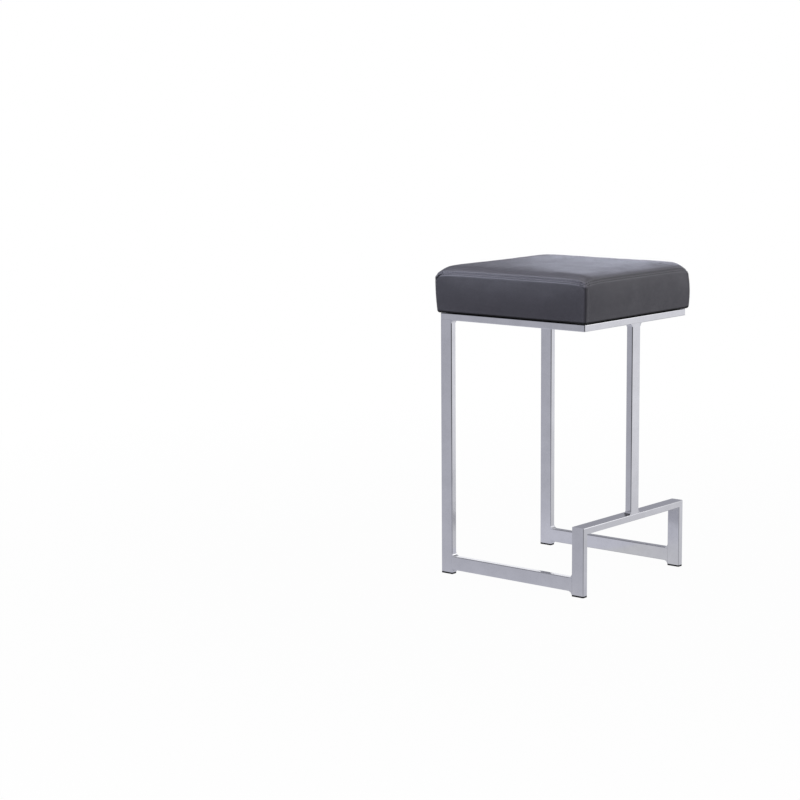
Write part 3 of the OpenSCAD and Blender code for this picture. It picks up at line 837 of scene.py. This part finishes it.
# %% Group: leather grain
def grain_group():
    """Pressed grain: cells of a Voronoi pattern whose borders are sunk, bent by a noise."""
    tree, i, o = group("pressed_grain", {"Place": (V, None), "Fine": (F, 700.0)},
                       {"Height": F, "Valley": F})
    bend = noise(tree, i["Place"], times(tree, i["Fine"], 0.45), 2.0, 0.5)
    shifted = vectors(tree, "ADD", i["Place"], times(tree, bend, 1.4 * MM))
    border = voronoi(tree, shifted, i["Fine"], "DISTANCE_TO_EDGE", 0.95)
    valley = remap(tree, border, 0.02, 0.22, 1.0, 0.0)
    pores = noise(tree, i["Place"], times(tree, i["Fine"], 2.6), 2.0, 0.6)
    plate = maths(tree, "SUBTRACT", 1.0, valley)
    tree.links.new(plus(tree, plate, times(tree, pores, 0.35)), o["Height"])
    tree.links.new(valley, o["Valley"])
    return tree


GRAIN = grain_group()


# %% Group: painted edge reflections
def edge_reflection_group():
    """Mask of the painted dark reflection on the rounded long edges: one minus the largest part of the
    surface normal, which is nothing on a flat face. It is weaker on edges that look upwards, which
    catch the ceiling."""
    tree, _, o = group("painted_edge_reflections", {}, {"Mask": F})
    normal = add(tree, "ShaderNodeNewGeometry").outputs["Normal"]
    part = parts(tree, vectors(tree, "ABSOLUTE", normal))
    largest = maths(tree, "MAXIMUM", maths(tree, "MAXIMUM", part["X"], part["Y"]), part["Z"])
    up = parts(tree, normal)["Z"]
    side = remap(tree, up, 0.1, 0.4, 1.0, 0.45)
    tree.links.new(times(tree, remap(tree, largest, 0.75, 0.97, 1.0, 0.0), side), o["Mask"])
    return tree


EDGE_REFLECTIONS = edge_reflection_group()

# %% [markdown]
# ## Chrome
# Chrome plating is a mirror, so it shows mostly what stands around it. What makes it read as metal
# and not as glass is small: the tube is never quite flat, the polishing leaves hair lines along
# each tube, fingers leave duller patches, and a painted dark reflection lies along each rounded edge.
# The hair lines need the direction of the tube, so there is one chrome for each axis, made by the
# same function. The painted edge reflection has a share of its own on the left of the stool and on its
# right.

# %% Chrome
CHROME_TINT = (0.72, 0.72, 0.73, 1)
CHROME_SMUDGED = (0.67, 0.67, 0.68, 1)
# Colour of the painted dark reflection on the rounded edges.
CHROME_EDGE_REFLECTION = (0.22, 0.22, 0.23, 1)


def chrome(name, stretch, left_reflection_share, right_reflection_share):
    """Plating whose hair lines are long where the stretch is small."""
    made, tree, shader, here = material(name)
    smudge = use(tree, SMUDGES, {"Place": here, "Size": 26.0})["Mask"]
    lines = use(tree, HAIRLINES, {"Place": here, "Stretch": stretch})
    dull = plus(tree, times(tree, smudge, 0.07), times(tree, lines["Mask"], 0.05))
    # Painted reflection: rounded edges are mixed towards a dark colour, by a share that differs on the
    # left and the right of the stool.
    dark = remap(tree, parts(tree, here)["X"], -0.1, 0.1, left_reflection_share, right_reflection_share)
    corner = times(tree, use(tree, EDGE_REFLECTIONS, {})["Mask"], dark)
    base = mix(tree, smudge, CHROME_TINT, CHROME_SMUDGED)
    drive(tree, shader, BaseColor=mix(tree, corner, base, CHROME_EDGE_REFLECTION),
          Roughness=plus(tree, dull, 0.08))
    wave = bumped(tree, noise(tree, here, 22.0, 2.0, 0.5), 1.0, 0.16 * MM)
    fine = bumped(tree, lines["Height"], 0.35, 0.004 * MM, Normal=wave)
    drive(tree, shader, Normal=fine, Metallic=1.0)
    return made


CHROME_X = chrome("chrome_along_x", (0.02, 1, 1), 0.0, 0.9)
CHROME_Y = chrome("chrome_along_y", (1, 0.02, 1), 0.0, 0.75)
CHROME_Z = chrome("chrome_along_z", (1, 1, 0.02), 0.8, 0.8)
CHROME_WELD = chrome("chrome_on_welds", (0.6, 0.6, 0.6), 0.0, 0.0)


# %% [markdown]
# ## Coated fabric
# The cover is a coated fabric with a fine pressed grain and a satin shine. Close up, the grain's
# borders are a little darker and duller than its plates, the stretched roll at the rim is rubbed
# smoother and paler, and the sewn band is pulled smooth. Painted shade darkens the seam, its pinches,
# the corner seams and the turned lower edge, and on the left side of the seat the band carries a
# painted sheen in a paler colour. All but the grain and the smudges follow the masks that were stored
# on the mesh, because they belong to the seam and not to a place in the room, and the painted sheen
# also depends on the side of the seat.

# %% Coated fabric
MASKS_READ = ("crease", "side_crease", "rub", "band")
# X range in metres over which the painted sheen on the band fades to a small share.
BAND_SHEEN_FADE_X = (-0.188, -0.165)


def coated_fabric():
    """Each mix lays one colour over those before it: rub, painted sheen on the band, grain, then
    painted shade.
    """
    made, tree, shader, here = material("coated_fabric")
    grain = use(tree, GRAIN, {"Place": here, "Fine": 860.0})
    smudge = use(tree, SMUDGES, {"Place": here, "Size": 16.0})["Mask"]
    crease, side_crease, rub, band = (
        add(tree, "ShaderNodeAttribute", attribute_name=mask).outputs["Fac"] for mask in MASKS_READ)
    shade = maths(tree, "MAXIMUM", crease, side_crease)
    base = mix(tree, smudge, (0.065, 0.061, 0.071, 1), (0.057, 0.054, 0.063, 1))
    # Painted sheen: on the left side of the seat the band is mixed towards a paler colour, fading out
    # towards the right.
    pale = times(tree, band, remap(tree, parts(tree, here)["X"], *BAND_SHEEN_FADE_X, 1.0, 0.15))
    base = mix(tree, times(tree, rub, 0.5), base, (0.086, 0.081, 0.096, 1))
    base = mix(tree, pale, base, (0.125, 0.119, 0.140, 1))
    base = mix(tree, times(tree, grain["Valley"], 0.45), base, (0.028, 0.027, 0.035, 1))
    # Painted shade: the seam, the pinches, the corner seams and the turned lower edge are mixed to near
    # black.
    base = mix(tree, times(tree, shade, 0.95), base, (0.001, 0.001, 0.001, 1))
    rough = plus(tree, times(tree, smudge, 0.07), times(tree, grain["Valley"], 0.12))
    rough = maths(tree, "SUBTRACT", plus(tree, rough, 0.40), times(tree, rub, 0.06))
    rough = maths(tree, "SUBTRACT", rough, times(tree, band, 0.15))
    rough = plus(tree, rough, times(tree, shade, 0.4), clamp=True)
    soft = noise(tree, here, 60.0, 3.0, 0.5)
    taut = maths(tree, "SUBTRACT", 1.0, times(tree, band, 0.95))
    wide = bumped(tree, soft, times(tree, taut, 0.5), 0.7 * MM)
    bump = bumped(tree, grain["Height"], times(tree, taut, 0.55), 0.12 * MM, Normal=wide)
    drive(tree, shader, BaseColor=base, Roughness=rough, Normal=bump, SpecularIORLevel=0.5)
    return made


COATED = coated_fabric()


# %% [markdown]
# ## Thread, pads, cloth, wood, foam and zinc
# The rest is made the same way: one base colour with a second one to break it up, and roughness
# and bump from the same pattern, at the scale of the real thing. Twisted thread shows slanting
# plies, moulded plastic a fine mat skin, non-woven cloth its pressed dots, birch plywood its grain
# on the faces and its layers on the edge, foam its open cells, and zinc plating a turned shine.

# %% Thread
def twisted_thread():
    made, tree, shader, here = material("twisted_thread")
    plies = add(tree, "ShaderNodeTexWave", {"Vector": here, "Scale": 420.0, "Distortion": 1.5,
                "Detail": 1.0}, bands_direction="DIAGONAL").outputs["Fac"]
    fuzz = noise(tree, here, 2500.0, 2.0, 0.6)
    base = mix(tree, plies, (0.012, 0.012, 0.013, 1), (0.03, 0.03, 0.033, 1))
    base = mix(tree, times(tree, fuzz, 0.3), base, (0.05, 0.05, 0.055, 1))
    bump = bumped(tree, plies, 0.6, 0.1 * MM)
    drive(tree, shader, BaseColor=base, Roughness=remap(tree, fuzz, 0.3, 0.7, 0.45, 0.6),
          Normal=bump, SpecularIORLevel=0.3)
    return made


THREAD = twisted_thread()


# %% Moulded plastic
def moulded_plastic():
    made, tree, shader, here = material("moulded_plastic")
    skin = noise(tree, here, 1600.0, 3.0, 0.6)
    smudge = use(tree, SMUDGES, {"Place": here, "Size": 60.0})["Mask"]
    base = mix(tree, smudge, (0.003, 0.003, 0.0035, 1), (0.008, 0.008, 0.008, 1))
    bump = bumped(tree, skin, 0.4, 0.06 * MM)
    drive(tree, shader, BaseColor=base, Roughness=remap(tree, smudge, 0, 1, 0.42, 0.58),
          Normal=bump, SpecularIORLevel=0.3)
    return made


PLASTIC = moulded_plastic()


# %% Non-woven cloth
def nonwoven_cloth():
    made, tree, shader, here = material("nonwoven_cloth")
    pressed = remap(tree, voronoi(tree, here, 620.0, randomness=0.25), 0.18, 0.42, 1.0, 0.0)
    fibres = noise(tree, here, 1400.0, 4.0, 0.7)
    base = mix(tree, fibres, (0.008, 0.008, 0.009, 1), (0.035, 0.035, 0.037, 1))
    base = mix(tree, times(tree, pressed, 0.5), base, (0.012, 0.012, 0.013, 1))
    height = maths(tree, "SUBTRACT", times(tree, fibres, 0.5), pressed)
    bump = bumped(tree, height, 0.7, 0.1 * MM)
    drive(tree, shader, BaseColor=base, Roughness=remap(tree, pressed, 0, 1, 0.9, 0.55), Normal=bump)
    return made


NONWOVEN = nonwoven_cloth()


# %% Birch plywood
def birch_plywood():
    made, tree, shader, here = material("birch_plywood")
    figure = noise(tree, vectors(tree, "MULTIPLY", here, (6.0, 70.0, 1.0)), 1.0, 6.0, 0.65)
    layer = parts(tree, here)["Z"]
    plies = maths(tree, "PINGPONG", layer, 1.5 * MM)
    edge = remap(tree, plies, 0.6 * MM, 0.9 * MM)
    up = parts(tree, add(tree, "ShaderNodeNewGeometry").outputs["Normal"])["Z"]
    flank = maths(tree, "LESS_THAN", maths(tree, "ABSOLUTE", up), 0.5)
    face = mix(tree, figure, (0.62, 0.43, 0.25, 1), (0.76, 0.58, 0.37, 1))
    side = mix(tree, edge, (0.66, 0.48, 0.29, 1), (0.34, 0.21, 0.11, 1))
    drive(tree, shader, BaseColor=mix(tree, flank, face, side),
          Roughness=remap(tree, figure, 0.3, 0.7, 0.5, 0.72),
          Normal=bumped(tree, figure, 0.4, 0.2 * MM))
    return made


PLYWOOD = birch_plywood()


# %% Seat foam
def seat_foam():
    made, tree, shader, here = material("seat_foam")
    pores = voronoi(tree, here, 900.0)
    broad = noise(tree, here, 30.0, 3.0, 0.5)
    base = mix(tree, broad, (0.78, 0.70, 0.48, 1), (0.70, 0.60, 0.38, 1))
    base = mix(tree, remap(tree, pores, 0.1, 0.5, 0.5, 0.0), base, (0.42, 0.34, 0.2, 1))
    drive(tree, shader, BaseColor=base, Roughness=remap(tree, pores, 0, 0.6, 0.95, 0.75),
          Normal=bumped(tree, pores, 0.8, 0.4 * MM))
    return made


FOAM = seat_foam()


# %% Zinc plating
def zinc_plating():
    """Rings round each bolt: the four bolts are folded onto one by taking absolute values."""
    made, tree, shader, here = material("zinc_plating")
    from_bolt = vectors(tree, "SUBTRACT", vectors(tree, "ABSOLUTE", here), (BOLT_X, BOLT_Y, 0.0))
    radius = vectors(tree, "LENGTH", vectors(tree, "MULTIPLY", from_bolt, (1, 1, 0)))
    ringed = add(tree, "ShaderNodeCombineXYZ", {0: radius}).outputs[0]
    rings = noise(tree, ringed, 2600.0, 3.0, 0.7)
    smudge = use(tree, SMUDGES, {"Place": here, "Size": 90.0})["Mask"]
    base = mix(tree, smudge, (0.60, 0.61, 0.64, 1), (0.46, 0.47, 0.50, 1))
    bump = bumped(tree, rings, 0.5, 0.03 * MM)
    drive(tree, shader, BaseColor=base, Roughness=remap(tree, rings, 0.3, 0.7, 0.24, 0.42),
          Normal=bump, Metallic=1.0)
    return made


ZINC = zinc_plating()

# %% [markdown]
# ## Dressing the pieces
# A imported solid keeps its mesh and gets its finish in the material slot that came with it. The
# chrome is picked by the way each tube runs.

# %% Finishes on the pieces
FINISHES = {
    CHROME_X: ("ring_front_tube", "ring_rear_tube", "footrest_bar"),
    CHROME_Y: ("ring_left_tube", "ring_right_tube", "left_floor_rail", "right_floor_rail"),
    CHROME_Z: ("rear_left_leg", "rear_right_leg", "front_left_leg", "front_right_leg", "centre_post"),
    CHROME_WELD: ("weld_fillets",),
    PLASTIC: ("rear_left_pad", "rear_right_pad", "front_left_pad", "front_right_pad"),
    PLYWOOD: ("seat_board",),
    ZINC: ("tee_nuts", "seat_bolts", "bolt_washers"),
}
for finish, names in FINISHES.items():
    for name in names:
        nodes[name].material_slots[0].material = finish
for piece, finish in ((cover, COATED), (thread, THREAD), (foam, FOAM), (dust, NONWOVEN)):
    piece.data.materials.append(finish)
print("finished nodes:", sum(len(n) for n in FINISHES.values()))

# %% [markdown]
# ## Floor and surroundings
# The stool stands on a plain pale floor that runs on into a plain pale background. Metal needs
# something to mirror, so rays that leave the chrome see the same studio with its large bright and
# dark walls: bright from the front right round to the right, medium behind, and dark from the left
# round to the front. The tone is looked up by the compass angle, on the floor and in the background
# alike, so both join at the horizon, and it is the same for any camera.

# %% Studio tones
# Each pair is a share of the full turn, from -X over -Y, +X and +Y back to -X, and a tone. Near
# the stool the floor has one tone on the left and another on the right.
LOW_TONES = ((0.0, 0.22), (0.083, 0.08), (0.175, 0.05), (0.27, 0.1), (0.335, 0.7), (0.38, 1.0),
             (0.5, 1.0), (0.6, 0.75), (0.75, 0.64), (0.9, 0.58), (0.958, 0.42), (1.0, 0.22))
HIGH_TONES = ((0.0, 0.2), (0.083, 0.08), (0.175, 0.05), (0.27, 0.15), (0.335, 0.7), (0.39, 1.0),
              (0.49, 1.0), (0.56, 0.5), (0.6, 0.37), (0.75, 0.38), (0.9, 0.42), (1.0, 0.2))
BLUENESS = ((0.0, 1.0), (0.2, 0.35), (0.5, 0.35), (0.57, 1.0), (1.0, 1.0))
LEFT_TONE = 0.62
RIGHT_TONE = 0.76
COOL = (0.94, 0.95, 1.08, 1)
# Distances from the middle over which those two tones give way to the pairs, and the shadow fades.
TONE_REACH = (0.3, 2.2)
SHADOW_REACH = (0.7, 2.4)


def compass(tree, direction):
    """Share of the full turn of a direction, and its unchanged parts."""
    part = parts(tree, direction)
    angle = maths(tree, "ARCTAN2", part["Y"], part["X"])
    return remap(tree, angle, -math.pi, math.pi), part


def cooled(tree, tone, turn):
    """The tone with the slight blue of daylight, which comes from the left and from behind."""
    blue = mix(tree, 1.0, tone, COOL, "MULTIPLY")
    return mix(tree, ramp(tree, turn, BLUENESS), tone, blue)


# %% Floor
def floor_finish():
    """White to the camera, toned in mirrors, grey to all other light, and clear from below."""
    made = bpy.data.materials.new("pale_floor")
    tree = emptied(made)
    here = add(tree, "ShaderNodeTexCoord").outputs["Object"]
    far = vectors(tree, "LENGTH", here)
    turn = compass(tree, here)[0]
    near = remap(tree, parts(tree, here)["X"], -0.3, 0.0, LEFT_TONE, RIGHT_TONE)
    tone = mix(tree, remap(tree, far, *TONE_REACH), near, ramp(tree, turn, LOW_TONES))
    mirrored = cooled(tree, tone, turn)
    ray = add(tree, "ShaderNodeLightPath").outputs
    shown = mix(tree, ray["Is Glossy Ray"], (1, 1, 1, 1), mirrored)
    clear = maths(tree, "MAXIMUM", ray["Is Camera Ray"], ray["Is Transmission Ray"])
    shown_share = times(tree, clear, remap(tree, far, *SHADOW_REACH, 0.975, 1.0))
    glowing = maths(tree, "MAXIMUM", shown_share, times(tree, ray["Is Glossy Ray"], 0.85))
    speck = noise(tree, here, 40.0, 3.0, 0.5)
    pale = mix(tree, speck, (0.48, 0.48, 0.48, 1), (0.5, 0.5, 0.5, 1))
    lit = add(tree, "ShaderNodeBsdfDiffuse", {"Color": pale}).outputs[0]
    glow = add(tree, "ShaderNodeEmission", {"Color": shown, "Strength": 1.0}).outputs[0]
    both = add(tree, "ShaderNodeMixShader", {0: glowing, 1: lit, 2: glow}).outputs[0]
    below = add(tree, "ShaderNodeNewGeometry").outputs["Backfacing"]
    nothing = add(tree, "ShaderNodeBsdfTransparent").outputs[0]
    seen = add(tree, "ShaderNodeMixShader", {0: below, 1: both, 2: nothing})
    tree.links.new(seen.outputs[0], add(tree, "ShaderNodeOutputMaterial").inputs["Surface"])
    return made


def floor_disc(radius=9.0, rings=24, spokes=96):
    """A disc of rings that lie closer together towards its middle."""
    r = radius * np.linspace(0, 1, rings + 1)[1:] ** 2
    a = np.linspace(0, 2 * np.pi, spokes, endpoint=False)
    x, y = r[:, None] * np.cos(a), r[:, None] * np.sin(a)
    verts = np.concatenate([np.stack([x, y, 0 * x], -1).reshape(-1, 3), [[0, 0, 0]]])
    faces = ring_quads(rings, spokes).tolist() + fan(0, spokes, rings * spokes).tolist()
    return smooth_mesh("floor", verts, faces)


floor = place("floor", floor_disc())
floor.data.materials.append(floor_finish())

# %% Background
world = bpy.data.worlds.new("studio")
scene.world = world
tree = emptied(world)
turn, part = compass(tree, add(tree, "ShaderNodeTexCoord").outputs["Generated"])
wall = mix(tree, remap(tree, part["Z"], 0.05, 0.14), ramp(tree, turn, LOW_TONES),
           ramp(tree, turn, HIGH_TONES))
ceiling = ramp(tree, part["Z"], ((0.0, 0.35), (0.6, 0.3), (0.84, 0.25), (0.95, 0.95)))
mirrored = cooled(tree, mix(tree, remap(tree, part["Z"], 0.45, 0.7), wall, ceiling), turn)
ray = add(tree, "ShaderNodeLightPath").outputs
fill = mix(tree, ray["Is Glossy Ray"], cooled(tree, (0.5, 0.5, 0.5, 1), turn), mirrored)
clear = maths(tree, "MAXIMUM", ray["Is Camera Ray"], ray["Is Transmission Ray"])
shown = mix(tree, clear, fill, (1, 1, 1, 1))
back = add(tree, "ShaderNodeBackground", {"Color": shown, "Strength": 1.0})
tree.links.new(back.outputs[0], add(tree, "ShaderNodeOutputWorld").inputs["Surface"])

# %% [markdown]
# ## Lamps
# Six soft lamps. A key at the front right and a broad lamp overhead light everything. The other
# four stand for the reflecting panels of a photo studio, and each lights only the piece that it
# is there for: one at the rear left draws a sheen along the left side and its sewn band, one high
# behind and one at the rear right give the top its long pale sheen, and a low one brightens the
# upper edge of the left floor rail.

# %% Lamps
def lamp(name, at, towards, width, height, watts, colour=(1, 1, 1), only=()):
    """An area lamp at a place, turned to face a point. It may light only some pieces."""
    data = bpy.data.lights.new(name, "AREA")
    data.shape = "RECTANGLE"
    data.size = width
    data.size_y = height
    data.energy = watts
    data.color = colour
    made = bpy.data.objects.new(name, data)
    scene.collection.objects.link(made)
    made.location = at
    made.rotation_euler = (Vector(towards) - Vector(at)).to_track_quat("-Z", "Y").to_euler()
    if only:
        made.light_linking.receiver_collection = bpy.data.collections.new(name + "_lights")
        for piece in only:
            made.light_linking.receiver_collection.objects.link(piece)


DAYLIGHT = (0.80, 0.84, 1.0)
SEAT = (cover, thread)
RAIL = (nodes["left_floor_rail"],)
lamp("key_lamp", (1.7, -2.6, 2.5), (0, 0, 0.4), 3.5, 3.5, 36)
lamp("top_lamp", (-0.2, 0.1, 3.0), (0, 0, 0.3), 2.8, 2.8, 28)
lamp("left_lamp", (-2.1, 1.95, 1.9), (0, 0, 0.62), 1.3, 1.3, 36, DAYLIGHT, only=SEAT)
lamp("rear_top_lamp", (-0.45, 1.9, 2.8), (0, 0, 0.62), 1.2, 1.2, 14, DAYLIGHT, only=SEAT)
lamp("rail_lamp", (0.30, 0.355, 0.185), (-1, 0.355, 0.185), 0.41, 0.13, 0.12, only=RAIL)
lamp("rear_lamp", (1.9, 0.85, 1.15), (0, 0, 0.65), 1.1, 1.1, 9, DAYLIGHT, only=SEAT)

# %% [markdown]
# ## Camera
# The camera looks from the front left, a little above the seat, with the long lens of a product
# photograph. Its place and turn were worked out from the corners of the frame.

# %% Camera
CAMERA_AT = (-3.7644, -2.7073, 1.0983)
SENSOR, LENS_PIXELS, PHOTO_PIXELS = 36, 2140.7, 800
YAW, PITCH, TILT = math.radians(49.865), math.radians(-8.819), math.radians(-0.424)
forward = Vector((math.sin(YAW) * math.cos(PITCH), math.cos(YAW) * math.cos(PITCH), math.sin(PITCH)))
level_right = Vector((math.cos(YAW), -math.sin(YAW), 0))
level_up = level_right.cross(forward)
right = level_right * math.cos(TILT) + level_up * math.sin(TILT)
up = level_up * math.cos(TILT) - level_right * math.sin(TILT)
camera_data = bpy.data.cameras.new("camera")
camera_data.sensor_width = SENSOR
camera_data.lens = SENSOR * LENS_PIXELS / PHOTO_PIXELS
camera = bpy.data.objects.new("camera", camera_data)
scene.collection.objects.link(camera)
camera.matrix_world = Matrix((right, up, -forward)).transposed().to_4x4()
camera.location = CAMERA_AT
scene.camera = camera
scene.view_settings.view_transform = "Standard"
print("lens", round(camera_data.lens, 2), "mm")
